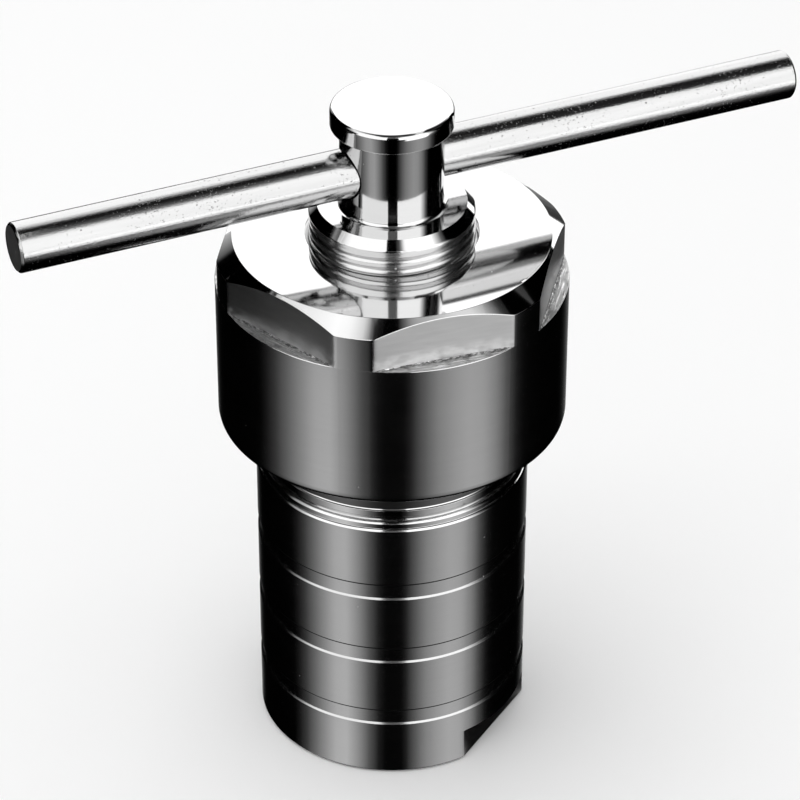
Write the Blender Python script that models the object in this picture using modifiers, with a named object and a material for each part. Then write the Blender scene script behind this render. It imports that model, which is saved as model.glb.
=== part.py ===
"""Screw-cap pressure reactor for hydrothermal synthesis, of about 100 ml.

A stainless steel vessel holds a plastic liner cup with its lid, between a pad below and a thrust
plate above. The cap screws onto the vessel's neck. The compression screw in the middle of the cap
is turned by a loose bar through its post, and presses the thrust plate and the lid down.

Metres, +Z up. The origin is the middle of the vessel's foot, and the bar lies along X.
"""

import math

import bmesh
import bpy

# Clearances
SEAT_GAP = 0.0003
BAR_GAP = 0.0005

# Liner and pads, which set the vessel's inside
BORE_DIAMETER = 0.0520
LINER_WALL = 0.0047
LINER_FLOOR = 0.0090
LINER_HEIGHT = 0.0880
LINER_CORNER_RADIUS = 0.0030
LID_THICKNESS = 0.0080
LID_SPIGOT = 0.0060
PAD_THICKNESS = 0.0030
PAD_BOSS_DIAMETER = 0.0150
PAD_BOSS_HEIGHT = 0.0015

# Thrust plate, which swivels on the nose of the compression screw
PLATE_THICKNESS = 0.0050
PLATE_BOSS_HEIGHT = 0.0040
PLATE_BOSS_STEP = 0.0070
PLATE_LIFT = 0.0050
NOSE_DIAMETER = 0.0120
NOSE_TIP = 0.0010
RING_GROOVE_DEPTH = 0.0010
RING_WIDTH = 0.0020
RING_THICKNESS = 0.0010
RING_MOUTH = 0.0060

# Vessel
FLOOR_THICKNESS = 0.0120
BODY_WALL = 0.00775
NECK_WALL = 0.0060
RIM_ABOVE_LID = 0.0049
BORE_CHAMFER = 0.0010
FOOT_CHAMFER = 0.0005
GROOVE_COUNT = 3
GROOVE_PITCH = 0.0196
GROOVE_HEIGHT = 0.0047
GROOVE_DEPTH = 0.0004
LOWEST_GROOVE = 0.0176
VESSEL_FLAT_COUNT = 2
VESSEL_FLAT_DEPTH = 0.00375
VESSEL_FLAT_HEIGHT = 0.0088
VESSEL_FLAT_BEARING = math.radians(-53.8)

# Neck between the body's shoulder and the cap, from the top down
THREAD_LENGTH = 0.0260
THREAD_CHAMFER = 0.0020
RELIEF_WIDTH = 0.0045
RELIEF_DEPTH = 0.0020
NECK_HEIGHT = 0.0154
NECK_BAND = 0.0018
NECK_BAND_PROUD = 0.0004
NECK_STEP = 0.0017
NECK_EDGE = 0.0003

# Cap
SKIRT_WALL = 0.01045
CAP_TOP_THICKNESS = 0.0175
CAP_CHAMFER_WIDTH = 0.0044
CAP_CHAMFER_HEIGHT = 0.00345
CAP_EDGE = 0.0005
MOUTH_CHAMFER = 0.0015
SCREW_HOLE_CHAMFER = 0.0007
CAP_FLAT_COUNT = 6
CAP_FLAT_DEPTH = 0.0036
CAP_FLAT_HEIGHT = 0.0122
CAP_FLAT_BEARING = math.radians(-95.8)

# Compression screw and its bar
SCREW_THREAD_DIAMETER = 0.0400
SCREW_END_CHAMFER_WIDTH = 0.0020
SCREW_END_CHAMFER_HEIGHT = 0.0022
COLLAR_STAND = 0.0085
POST_WALL = 0.0060
POST_LAND = 0.0040
POST_FILLET = 0.0012
HEAD_OVERHANG = 0.0022
HEAD_THICKNESS = 0.0049
HEAD_ROUND = 0.0008
BAR_DIAMETER = 0.0120
BAR_LENGTH = 0.2000
BAR_SLID = 0.0057
BAR_EDGE = 0.0006

# Facets round a turned piece, round the bar, and along a rounded edge
TURNED_STEPS = 64
BAR_STEPS = 32
ARC_STEPS = 3
CUT_MARGIN = 0.0100

# Sizes that follow from the ones above, as radii and as heights above the vessel's foot
bore_radius = BORE_DIAMETER / 2
body_radius = bore_radius + BODY_WALL
thread_radius = bore_radius + NECK_WALL
skirt_bore_radius = thread_radius + SEAT_GAP
cap_radius = skirt_bore_radius + SKIRT_WALL
inner_fit_radius = bore_radius - SEAT_GAP
chamber_radius = inner_fit_radius - LINER_WALL

pad_foot = FLOOR_THICKNESS + SEAT_GAP
liner_foot = pad_foot + PAD_THICKNESS + SEAT_GAP
lid_foot = liner_foot + LINER_HEIGHT + SEAT_GAP
lid_top = lid_foot + LID_THICKNESS
plate_foot = lid_top + SEAT_GAP
plate_top = plate_foot + PLATE_THICKNESS
vessel_height = lid_top + RIM_ABOVE_LID
cap_foot = vessel_height - THREAD_LENGTH
shoulder_height = cap_foot - NECK_HEIGHT
ceiling_height = max(plate_top + PLATE_LIFT, vessel_height) + SEAT_GAP
cap_height = ceiling_height + CAP_TOP_THICKNESS - cap_foot
screw_foot = plate_top + PLATE_BOSS_HEIGHT + SEAT_GAP
collar_top = cap_foot + cap_height + COLLAR_STAND
screw_thread_radius = SCREW_THREAD_DIAMETER / 2
screw_hole_radius = screw_thread_radius + SEAT_GAP
bar_radius = BAR_DIAMETER / 2
bar_hole_radius = bar_radius + BAR_GAP
post_radius = bar_hole_radius + POST_WALL
post_height = 2 * (bar_hole_radius + POST_LAND)
nose_radius = NOSE_DIAMETER / 2
ring_groove_radius = nose_radius - RING_GROOVE_DEPTH
ring_outer_radius = ring_groove_radius + SEAT_GAP + RING_WIDTH
ring_groove_height = RING_THICKNESS + 2 * SEAT_GAP
ring_pocket_depth = NOSE_TIP + ring_groove_height + SEAT_GAP


def clear_scene():
    for old in list(bpy.data.objects):
        bpy.data.objects.remove(old, do_unlink=True)


def new_collection(name):
    collection = bpy.data.collections.new(name)
    bpy.context.scene.collection.children.link(collection)
    return collection


def new_material(name, colour, roughness, metallic):
    material = bpy.data.materials.new(name)
    material.use_nodes = True
    shader = material.node_tree.nodes["Principled BSDF"]
    shader.inputs["Base Color"].default_value = (*colour, 1.0)
    shader.inputs["Roughness"].default_value = roughness
    shader.inputs["Metallic"].default_value = metallic
    return material


def arc(r, z, radius, start, end):
    """Points of a profile on a circle round (r, z), from one angle to another in degrees."""
    angles = [math.radians(start + (end - start) * i / ARC_STEPS) for i in range(ARC_STEPS + 1)]
    return [(r + radius * math.cos(angle), z + radius * math.sin(angle)) for angle in angles]


def turned(name, profile, material, height, closed=False, steps=TURNED_STEPS):
    """A piece turned from a profile of (radius, height) points, which runs down its outer side."""
    mesh = bpy.data.meshes.new(name)
    shape = bmesh.new()
    points = [shape.verts.new((r, 0.0, z)) for r, z in profile]
    for first, second in zip(points, points[1:]):
        shape.edges.new((first, second))
    if closed:
        shape.edges.new((points[-1], points[0]))
    shape.to_mesh(mesh)
    shape.free()
    mesh.materials.append(material)
    piece = bpy.data.objects.new(name, mesh)
    piece.location.z = height
    parts.objects.link(piece)
    screw = piece.modifiers.new("Turn", "SCREW")
    screw.steps = steps
    screw.render_steps = steps
    screw.use_merge_vertices = True
    screw.merge_threshold = 0.00001
    screw.use_smooth_shade = True
    return piece


def hang_from(parent, *pieces):
    """Parents pieces that are placed in the world, and leaves them where they are."""
    for piece in pieces:
        piece.parent = parent
        piece.location -= parent.location


def cut(piece, cutter):
    """Takes a cutter, which moves with the piece, out of it."""
    cutter.hide_render = True
    cutter.display_type = "WIRE"
    cutters.objects.link(cutter)
    cutter.parent = piece
    boolean = piece.modifiers.new(cutter.name, "BOOLEAN")
    boolean.operation = "DIFFERENCE"
    boolean.object = cutter


def cutter_from(name, shape):
    mesh = bpy.data.meshes.new(name)
    bmesh.ops.recalc_face_normals(shape, faces=shape.faces)
    shape.to_mesh(mesh)
    shape.free()
    return bpy.data.objects.new(name, mesh)


def mill_flats(piece, radius, depth, count, bearing, low, high):
    """Mills flats for a spanner round a turned piece, each a chord between two heights."""
    half_width = math.sqrt(radius**2 - (radius - depth) ** 2) + depth
    for index in range(count):
        shape = bmesh.new()
        bmesh.ops.create_cube(shape, size=1.0)
        bmesh.ops.scale(shape, vec=(CUT_MARGIN, 2 * half_width, high - low), verts=shape.verts)
        flat = cutter_from(f"{piece.name}_flat_cutter_{index + 1}", shape)
        angle = bearing + index * math.tau / count
        reach = radius - depth + CUT_MARGIN / 2
        flat.location = (reach * math.cos(angle), reach * math.sin(angle), (low + high) / 2)
        flat.rotation_euler.z = angle
        cut(piece, flat)


def groove_outline():
    """The grooves round the body from the top down: a square upper edge and a sloping lower one."""
    outline = []
    for index in reversed(range(GROOVE_COUNT)):
        middle = LOWEST_GROOVE + index * GROOVE_PITCH
        top = middle + GROOVE_HEIGHT / 2
        bottom = middle - GROOVE_HEIGHT / 2
        outline += [
            (body_radius, top),
            (body_radius - GROOVE_DEPTH, top),
            (body_radius - GROOVE_DEPTH, bottom + GROOVE_DEPTH),
            (body_radius, bottom),
        ]
    return outline


def make_vessel():
    """The thick-walled body, blind-bored, with the threaded neck and the two flats at its foot."""
    recess_radius = PAD_BOSS_DIAMETER / 2 + SEAT_GAP
    recess_floor = FLOOR_THICKNESS - PAD_BOSS_HEIGHT - SEAT_GAP
    band_top = cap_foot - NECK_HEIGHT + 3 * NECK_STEP
    band_radius = thread_radius + NECK_BAND_PROUD
    step_radius = (band_radius + body_radius) / 2
    relief_radius = thread_radius - RELIEF_DEPTH
    relief_top = cap_foot
    relief_foot = relief_top - RELIEF_WIDTH
    profile = [
        (0.0, recess_floor),
        (recess_radius, recess_floor),
        (recess_radius, FLOOR_THICKNESS),
        (bore_radius, FLOOR_THICKNESS),
        (bore_radius, vessel_height - BORE_CHAMFER),
        (bore_radius + BORE_CHAMFER, vessel_height),
        (thread_radius - THREAD_CHAMFER, vessel_height),
        (thread_radius, vessel_height - THREAD_CHAMFER),
        (thread_radius, relief_top + RELIEF_DEPTH),
        (relief_radius, relief_top),
        (relief_radius, relief_foot + RELIEF_DEPTH),
        (thread_radius, relief_foot),
        (thread_radius, band_top + NECK_BAND_PROUD),
        (band_radius, band_top),
        (band_radius, band_top - NECK_BAND),
        (thread_radius, band_top - NECK_BAND),
        (thread_radius, shoulder_height + NECK_STEP + NECK_EDGE),
        (step_radius, shoulder_height + NECK_STEP),
        (step_radius, shoulder_height + NECK_EDGE),
        (body_radius, shoulder_height),
        *groove_outline(),
        (body_radius, FOOT_CHAMFER),
        (body_radius - FOOT_CHAMFER, 0.0),
        (0.0, 0.0),
    ]
    vessel = turned("vessel", profile, steel_turned, 0.0)
    mill_flats(
        vessel,
        body_radius,
        VESSEL_FLAT_DEPTH,
        VESSEL_FLAT_COUNT,
        VESSEL_FLAT_BEARING,
        -CUT_MARGIN,
        VESSEL_FLAT_HEIGHT,
    )
    return vessel


def make_lower_pad():
    """The steel disc under the liner, with a low boss that centres it in the vessel's floor."""
    boss_radius = PAD_BOSS_DIAMETER / 2
    profile = [
        (0.0, PAD_THICKNESS),
        (inner_fit_radius, PAD_THICKNESS),
        (inner_fit_radius, 0.0),
        (boss_radius, 0.0),
        (boss_radius, -PAD_BOSS_HEIGHT),
        (0.0, -PAD_BOSS_HEIGHT),
    ]
    return turned("lower_pad", profile, steel_plain, pad_foot)


def make_liner_cup():
    """The liner that holds the charge: a thick cup with rounded corners inside and at its foot."""
    corner = LINER_CORNER_RADIUS
    inside = arc(chamber_radius - corner, LINER_FLOOR + corner, corner, -90, 0)
    foot = arc(inner_fit_radius - corner, corner, corner, 0, -90)
    profile = [
        (0.0, LINER_FLOOR),
        *inside,
        (chamber_radius, LINER_HEIGHT),
        (inner_fit_radius, LINER_HEIGHT),
        *foot,
        (0.0, 0.0),
    ]
    return turned("liner_cup", profile, plastic_liner, liner_foot)


def make_liner_lid():
    """The liner's lid: a flange on the cup's rim and a spigot down inside it."""
    spigot_radius = chamber_radius - SEAT_GAP
    profile = [
        (0.0, LID_THICKNESS),
        (inner_fit_radius, LID_THICKNESS),
        (inner_fit_radius, 0.0),
        (spigot_radius, 0.0),
        (spigot_radius, -LID_SPIGOT + BORE_CHAMFER),
        (spigot_radius - BORE_CHAMFER, -LID_SPIGOT),
        (0.0, -LID_SPIGOT),
    ]
    return turned("liner_lid", profile, plastic_liner, lid_foot)


def make_thrust_plate():
    """The disc that spreads the screw's load, with a boss bored for its nose and a pocket below."""
    boss_radius = screw_thread_radius - PLATE_BOSS_STEP
    nose_bore_radius = nose_radius + SEAT_GAP
    pocket_radius = ring_outer_radius + SEAT_GAP
    profile = [
        (nose_bore_radius, PLATE_THICKNESS + PLATE_BOSS_HEIGHT),
        (boss_radius, PLATE_THICKNESS + PLATE_BOSS_HEIGHT),
        (boss_radius, PLATE_THICKNESS),
        (inner_fit_radius, PLATE_THICKNESS),
        (inner_fit_radius, 0.0),
        (pocket_radius, 0.0),
        (pocket_radius, ring_pocket_depth),
        (nose_bore_radius, ring_pocket_depth),
    ]
    return turned("thrust_plate", profile, steel_plain, plate_foot, closed=True)


def make_cap():
    """The cap: a threaded skirt, a thick top with the screw's hole, and flats for a spanner."""
    cap_top = cap_height
    ceiling = ceiling_height - cap_foot
    profile = [
        (screw_hole_radius + SCREW_HOLE_CHAMFER, cap_top),
        (cap_radius - CAP_CHAMFER_WIDTH, cap_top),
        (cap_radius, cap_top - CAP_CHAMFER_HEIGHT),
        (cap_radius, CAP_EDGE),
        (cap_radius - CAP_EDGE, 0.0),
        (skirt_bore_radius + MOUTH_CHAMFER, 0.0),
        (skirt_bore_radius, MOUTH_CHAMFER),
        (skirt_bore_radius, ceiling),
        (screw_hole_radius + SCREW_HOLE_CHAMFER, ceiling),
        (screw_hole_radius, ceiling + SCREW_HOLE_CHAMFER),
        (screw_hole_radius, cap_top - SCREW_HOLE_CHAMFER),
    ]
    cap = turned("cap", profile, steel_turned, cap_foot, closed=True)
    mill_flats(
        cap,
        cap_radius,
        CAP_FLAT_DEPTH,
        CAP_FLAT_COUNT,
        CAP_FLAT_BEARING,
        cap_top - CAP_FLAT_HEIGHT,
        cap_top + CUT_MARGIN,
    )
    return cap


def make_compression_screw():
    """The screw in the cap: nose, threaded shank, post with the bar's hole, and round head."""
    collar = collar_top - screw_foot
    head_foot = collar + post_height
    head_top = head_foot + HEAD_THICKNESS
    head_radius = post_radius + HEAD_OVERHANG
    nose_tip = plate_foot + SEAT_GAP - screw_foot
    groove_foot = nose_tip + NOSE_TIP
    groove_top = groove_foot + ring_groove_height
    chamfer_radius = screw_thread_radius - SCREW_END_CHAMFER_WIDTH
    profile = [
        (0.0, head_top),
        *arc(head_radius - HEAD_ROUND, head_top - HEAD_ROUND, HEAD_ROUND, 90, 0),
        (head_radius, head_foot + BAR_EDGE),
        (head_radius - BAR_EDGE, head_foot),
        *arc(post_radius + POST_FILLET, head_foot - POST_FILLET, POST_FILLET, 90, 180),
        *arc(post_radius + POST_FILLET, collar + POST_FILLET, POST_FILLET, 180, 270),
        (chamfer_radius, collar),
        (screw_thread_radius, collar - SCREW_END_CHAMFER_HEIGHT),
        (screw_thread_radius, SCREW_END_CHAMFER_HEIGHT),
        (chamfer_radius, 0.0),
        (nose_radius, 0.0),
        (nose_radius, groove_top),
        (ring_groove_radius, groove_top),
        (ring_groove_radius, groove_foot),
        (nose_radius, groove_foot),
        (nose_radius, nose_tip),
        (0.0, nose_tip),
    ]
    screw = turned("compression_screw", profile, steel_polished, screw_foot)
    shape = bmesh.new()
    bmesh.ops.create_cone(
        shape,
        cap_ends=True,
        segments=BAR_STEPS,
        radius1=bar_hole_radius,
        radius2=bar_hole_radius,
        depth=2 * (head_radius + CUT_MARGIN),
    )
    hole = cutter_from("bar_hole_cutter", shape)
    hole.location.z = collar + post_height / 2
    hole.rotation_euler.y = math.radians(90)
    cut(screw, hole)
    return screw


def make_retaining_ring():
    """The open spring ring in the nose's groove, which carries the thrust plate on the screw."""
    inner_radius = ring_groove_radius + SEAT_GAP
    profile = [
        (inner_radius, RING_THICKNESS),
        (ring_outer_radius, RING_THICKNESS),
        (ring_outer_radius, 0.0),
        (inner_radius, 0.0),
    ]
    foot = plate_foot + SEAT_GAP + NOSE_TIP + SEAT_GAP
    ring = turned("retaining_ring", profile, steel_plain, foot, closed=True)
    shape = bmesh.new()
    bmesh.ops.create_cube(shape, size=1.0)
    size = (2 * ring_outer_radius, RING_MOUTH, 4 * RING_THICKNESS)
    bmesh.ops.scale(shape, vec=size, verts=shape.verts)
    mouth = cutter_from("ring_mouth_cutter", shape)
    mouth.location = (ring_outer_radius, 0.0, RING_THICKNESS / 2)
    cut(ring, mouth)
    return ring


def make_tommy_bar():
    """The loose bar: ground round stock with broken edges, resting low in the post's hole."""
    half = BAR_LENGTH / 2
    profile = [
        (0.0, half),
        (bar_radius - BAR_EDGE, half),
        (bar_radius, half - BAR_EDGE),
        (bar_radius, BAR_EDGE - half),
        (bar_radius - BAR_EDGE, -half),
        (0.0, -half),
    ]
    height = collar_top + post_height / 2 - BAR_GAP + SEAT_GAP
    bar = turned("tommy_bar", profile, steel_ground, height, steps=BAR_STEPS)
    bar.rotation_euler.y = math.radians(90)
    bar.location.x = BAR_SLID
    return bar


clear_scene()
parts = new_collection("hydrothermal_reactor")
cutters = new_collection("cutters")
steel_turned = new_material("steel_turned", (0.56, 0.56, 0.57), 0.30, 1.0)
steel_polished = new_material("steel_polished", (0.62, 0.62, 0.63), 0.12, 1.0)
steel_ground = new_material("steel_ground", (0.60, 0.60, 0.61), 0.28, 1.0)
steel_plain = new_material("steel_plain", (0.55, 0.55, 0.56), 0.40, 1.0)
plastic_liner = new_material("plastic_liner", (0.90, 0.90, 0.88), 0.45, 0.0)

vessel = make_vessel()
lower_pad = make_lower_pad()
liner_cup = make_liner_cup()
liner_lid = make_liner_lid()
thrust_plate = make_thrust_plate()
cap = make_cap()
compression_screw = make_compression_screw()
retaining_ring = make_retaining_ring()
tommy_bar = make_tommy_bar()
hang_from(compression_screw, tommy_bar, retaining_ring)
hang_from(cap, compression_screw, thrust_plate)
hang_from(vessel, cap, liner_lid, liner_cup, lower_pad)
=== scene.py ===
import math

import bmesh
import bpy
from mathutils import Matrix, Vector


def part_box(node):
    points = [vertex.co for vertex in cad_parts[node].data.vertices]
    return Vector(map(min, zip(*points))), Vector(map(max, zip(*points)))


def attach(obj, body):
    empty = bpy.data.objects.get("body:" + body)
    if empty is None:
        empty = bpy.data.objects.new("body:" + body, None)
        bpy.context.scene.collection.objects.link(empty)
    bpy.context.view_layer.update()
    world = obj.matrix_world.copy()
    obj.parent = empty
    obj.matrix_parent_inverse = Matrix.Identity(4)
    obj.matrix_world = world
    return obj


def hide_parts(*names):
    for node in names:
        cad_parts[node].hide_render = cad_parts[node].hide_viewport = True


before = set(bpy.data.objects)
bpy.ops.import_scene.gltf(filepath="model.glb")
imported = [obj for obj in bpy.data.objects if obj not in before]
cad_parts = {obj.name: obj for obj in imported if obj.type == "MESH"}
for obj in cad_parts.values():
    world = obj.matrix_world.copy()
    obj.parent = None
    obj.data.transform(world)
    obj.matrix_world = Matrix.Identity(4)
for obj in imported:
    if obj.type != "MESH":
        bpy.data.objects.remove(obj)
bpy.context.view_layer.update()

# Vessel: the thick-walled body, turned from stainless bar and blind-bored for the liner.
# Three shallow grooves run round it, its neck carries the cap's thread above a stepped
# shoulder, and two flats are milled at its foot so that it can be held.
LOOSE_FIT = 0.0003
HAIR = 0.0001
TOLERANCE = 0.00001
SOFT_CORNER = 0.00015
SHARP_EDGE = math.radians(38)
VESSEL_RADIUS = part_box("vessel")[1].x
VESSEL_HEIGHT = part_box("vessel")[1].z
VESSEL_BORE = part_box("liner_cup")[1].x + LOOSE_FIT
VESSEL_FLOOR = 0.0120
VESSEL_EDGE = 0.0005
BORE_CHAMFER = 0.0010
PAD_RECESS_RADIUS = 0.0078
PAD_RECESS_FOOT = VESSEL_FLOOR - 0.0018
LOWEST_GROOVE = 0.0176
GROOVE_PITCH = 0.0196
GROOVE_HEIGHTS = [LOWEST_GROOVE + index * GROOVE_PITCH for index in range(3)]
GROOVE_HEIGHT = 0.0047
GROOVE_DEPTH = 0.0004
GROOVE_CORNER = 0.0006
FOOT_FLAT_DEPTH = 0.00375
FOOT_FLAT_TOP = 0.0088
FOOT_FLAT_BEARINGS = [math.radians(-53.8 + 180 * side) for side in range(2)]
NECK_THREAD_RADIUS = 0.0320
NECK_THREAD_CHAMFER = 0.0020
NECK_THREAD_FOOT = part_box("cap")[0].z
NECK_RELIEF_RADIUS = 0.0300
NECK_RELIEF_HEIGHT = 0.0045
SHOULDER = 0.0754
SHOULDER_CHAMFER = 0.00038
SHOULDER_CHAMFER_FOOT = SHOULDER - 0.00022
NECK_BAND_RADIUS = 0.0324
NECK_BAND_FOOT, NECK_BAND_TOP = SHOULDER + 0.0033, SHOULDER + 0.0051
NECK_BAND_CHAMFER = 0.00024
NECK_BAND_COVE = 0.0003
NECK_STEP_RADIUS = 0.03308
NECK_STEP_FOOT, NECK_STEP_TOP = SHOULDER + 0.0003, SHOULDER + 0.0020
NECK_STEP_CHAMFER = 0.00042
NECK_STEP_CHAMFER_FOOT = NECK_STEP_TOP - 0.00044
CAP_PITCH = 0.0030
CAP_THREAD_BEARING = 0.6
# One turn of a thread: heights as shares of the pitch, and how deep it is cut there.
THREAD_FORM = [
    (0.47, 0.94), (0.43, 0.80), (0.34, 0.46), (0.22, 0.17), (0.09, 0.03), (-0.09, 0.0),
    (-0.26, 0.05), (-0.36, 0.35), (-0.43, 0.80), (-0.47, 0.94),
]
THREAD_DEPTH = 0.45
RUNOUT_TURNS = 0.5
ROUND = 256
EDGE_COLUMNS = [math.radians(step) for step in (-0.95, -0.35, 0.0, 0.35, 0.95)]


def eased(outline, radius=SOFT_CORNER, closed=False, steps=3):
    """An outline of (radius, height) points with its corners rounded. A third number in a point
    is that corner's own rounding."""
    corners = [Vector(point[:2]) for point in outline]
    count = len(corners)
    points = []
    for index, corner in enumerate(corners):
        if not closed and index in (0, count - 1):
            points.append(tuple(corner))
            continue
        back = corners[index - 1] - corner
        ahead = corners[(index + 1) % count] - corner
        own = outline[index][2] if len(outline[index]) > 2 else radius
        if min(back.length, ahead.length) < 1e-9:
            points += [tuple(corner)] * (steps + 1)
            continue
        reach = own * math.tan(min(math.pi - back.angle(ahead), 3.0) / 2)
        reach = min(reach, 0.45 * back.length, 0.45 * ahead.length)
        start = corner + back.normalized() * reach
        end = corner + ahead.normalized() * reach
        for step in range(steps + 1):
            share = step / steps
            point = start * (1 - share) ** 2 + corner * 2 * share * (1 - share) + end * share**2
            points.append(tuple(point))
    return points


def thread(angle, top, bottom, radius, pitch, bearing, top_cone, bottom_cone, inside=0.0, runout=0.0):
    """Points down a right-handed thread between two heights, at one angle about the axis. Each
    cone is the radius at that end and its slope, where the thread is turned off. An inside
    thread has its clearance in `inside`, and its points run down too. A thread with a `runout`
    fades away at that depth below its top."""
    points = []
    lowest = pitch * (bearing / math.tau) % pitch - pitch
    lowest += pitch * math.floor((bottom - pitch - lowest) / pitch)
    turns = math.ceil((top - lowest) / pitch) + 1
    for turn in range(turns, -1, -1):
        for share, sunk in THREAD_FORM:
            height = lowest + pitch * (turn + share + angle / math.tau)
            held = min(max(height, bottom), top)
            upper = top_cone[0] + top_cone[1] * (top - held)
            lower = bottom_cone[0] + bottom_cone[1] * (held - bottom)
            sunk *= min(max((top - runout - held) / (RUNOUT_TURNS * pitch), 0.0), 1.0)
            cut = radius - THREAD_DEPTH * pitch * sunk
            if inside:
                cone = max(upper, lower)
                here = max(cut + inside, cone)
            else:
                cone = min(upper, lower)
                here = min(cut, cone)
            points.append((here if held == height else cone, held))
    return points


def flat_edges(radius, depth, bearings, start=0.0):
    """The angles, from `start` on, where milled flats meet the round side."""
    half = math.acos((radius - depth) / radius)
    ends = [bearing + side * half for bearing in bearings for side in (-1, 1)]
    return [start + (end - start) % math.tau for end in ends]


def flat_side(angle, radius, depth, bearings):
    """The radius of a round side with milled flats at this angle, with a soft corner."""
    reach = radius
    for bearing in bearings:
        off = math.cos(angle - bearing)
        if off > 0.5:
            flat = (radius - depth) / off
            reach = min(reach, (radius + flat - math.hypot(radius - flat, SOFT_CORNER)) / 2)
    return reach


def put_in_scene(name, data):
    """A mesh, lamp or camera as an object of the scene."""
    piece = bpy.data.objects.new(name, data)
    bpy.context.scene.collection.objects.link(piece)
    return piece


def meshed(name, shape):
    """The object that a finished bmesh makes."""
    mesh = bpy.data.meshes.new(name)
    shape.to_mesh(mesh)
    shape.free()
    return put_in_scene(name, mesh)


def turned(name, outline_at, closed=False, start=0.0, end=math.tau, columns=ROUND, edges=()):
    """A piece swept round the Z axis from an outline that may change with the angle. The
    outline runs down the outer side. More columns stand at the angles of milled edges."""
    shape = bmesh.new()
    rows = []
    angles = [start + (end - start) * column / columns for column in range(columns + 1)]
    for edge in edges:
        angles = [angle for angle in angles if abs(angle - edge) > EDGE_COLUMNS[-1]]
        angles += [edge + step for step in EDGE_COLUMNS]
    for angle in sorted(angles):
        across, up = math.cos(angle), math.sin(angle)
        rows.append([shape.verts.new((r * across, r * up, z)) for r, z in outline_at(angle)])
    count = len(rows[0])
    for left, right in zip(rows, rows[1:]):
        for upper in range(count if closed else count - 1):
            lower = (upper + 1) % count
            shape.faces.new((left[upper], left[lower], right[lower], right[upper]))
    if end - start < math.tau - 1e-6:
        shape.faces.new(rows[0][::-1])
        shape.faces.new(rows[-1])
    bmesh.ops.remove_doubles(shape, verts=shape.verts, dist=2e-7)
    bmesh.ops.dissolve_degenerate(shape, edges=shape.edges, dist=1e-8)
    piece = meshed(name, shape)
    piece.data.shade_smooth()
    piece.data.set_sharp_from_angle(angle=SHARP_EDGE)
    normals = piece.modifiers.new("Even shading", "WEIGHTED_NORMAL")
    normals.keep_sharp = True
    return piece


def add(tree, kind, inputs=None, **settings):
    """A shader node with its settings, and its inputs as values or as sockets to join."""
    node = tree.nodes.new("ShaderNode" + kind)
    for name, value in settings.items():
        setattr(node, name, value)
    for socket, value in (inputs or {}).items():
        if isinstance(value, bpy.types.NodeSocket):
            tree.links.new(value, node.inputs[socket])
        else:
            node.inputs[socket].default_value = value
    return node


def math_node(tree, operation, first, second=0.0, third=0.0):
    return add(tree, "Math", {0: first, 1: second, 2: third}, operation=operation).outputs[0]


def ramp(tree, value, low, high, first=0.0, last=1.0):
    """A value that goes from `first` to `last` while another goes from `low` to `high`."""
    return add(tree, "MapRange", {0: value, 1: low, 2: high, 3: first, 4: last}).outputs[0]


def noise(tree, place, scale, detail, roughness=0.5):
    """Smooth noise, finer with more detail."""
    settings = {"Vector": place, "Scale": scale, "Detail": detail, "Roughness": roughness}
    return add(tree, "TexNoise", settings).outputs[0]


def scaled(tree, place, scale):
    """A place with each of its axes scaled, which draws a texture out along some of them."""
    return add(tree, "VectorMath", {0: place, 1: scale}, operation="MULTIPLY").outputs[0]


def effect(name, inputs, outputs):
    """An empty node group for an effect that several metals share, with named sockets."""
    tree = bpy.data.node_groups.new(name, "ShaderNodeTree")
    for socket, value in inputs.items():
        made = tree.interface.new_socket(name=socket, in_out="INPUT", socket_type="NodeSocketFloat")
        made.default_value = value
    for socket in outputs:
        tree.interface.new_socket(name=socket, in_out="OUTPUT", socket_type="NodeSocketFloat")
    given = tree.nodes.new("NodeGroupInput")
    made = tree.nodes.new("NodeGroupOutput")
    return tree, given.outputs, made.inputs


def turning_lines():
    """Fine lines that a lathe tool leaves, at one radius or height all the way round."""
    inputs = {"Pitch": 0.0002, "Drift": 30.0}
    tree, given, made = effect("Turning lines", inputs, ["Lines", "Bands"])
    place = add(tree, "TexCoord").outputs["Object"]
    axes = add(tree, "SeparateXYZ", {0: place}).outputs
    squares = [math_node(tree, "POWER", axes[index], 2.0) for index in range(2)]
    radius = math_node(tree, "SQRT", math_node(tree, "ADD", *squares))
    along = math_node(tree, "DIVIDE", axes[2], given["Pitch"])
    out = math_node(tree, "DIVIDE", radius, given["Pitch"])
    skew = math_node(tree, "ADD", axes[0], math_node(tree, "MULTIPLY", axes[1], 0.7))
    drift = math_node(tree, "MULTIPLY", skew, given["Drift"])
    spot = add(tree, "CombineXYZ", {0: along, 1: out, 2: drift}).outputs[0]
    wide = scaled(tree, spot, (0.08, 0.08, 1.0))
    tree.links.new(noise(tree, spot, 1.0, 2.0, 0.6), made["Lines"])
    tree.links.new(noise(tree, wide, 1.0, 3.0, 0.55), made["Bands"])
    return tree


def pits():
    """Sparse specks: nicks, pores and grit that catch the light."""
    tree, given, made = effect("Pits", {"Spacing": 0.003, "Size": 0.06, "Share": 0.3}, ["Pits"])
    place = add(tree, "TexCoord").outputs["Object"]
    count = math_node(tree, "DIVIDE", 1.0, given["Spacing"])
    cells = add(tree, "TexVoronoi", {"Vector": place, "Scale": count, "Randomness": 1.0})
    near = math_node(tree, "LESS_THAN", cells.outputs["Distance"], given["Size"])
    chance = add(tree, "SeparateColor", {0: cells.outputs["Color"]}).outputs[0]
    picked = math_node(tree, "LESS_THAN", chance, given["Share"])
    tree.links.new(math_node(tree, "MULTIPLY", near, picked), made["Pits"])
    return tree


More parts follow.
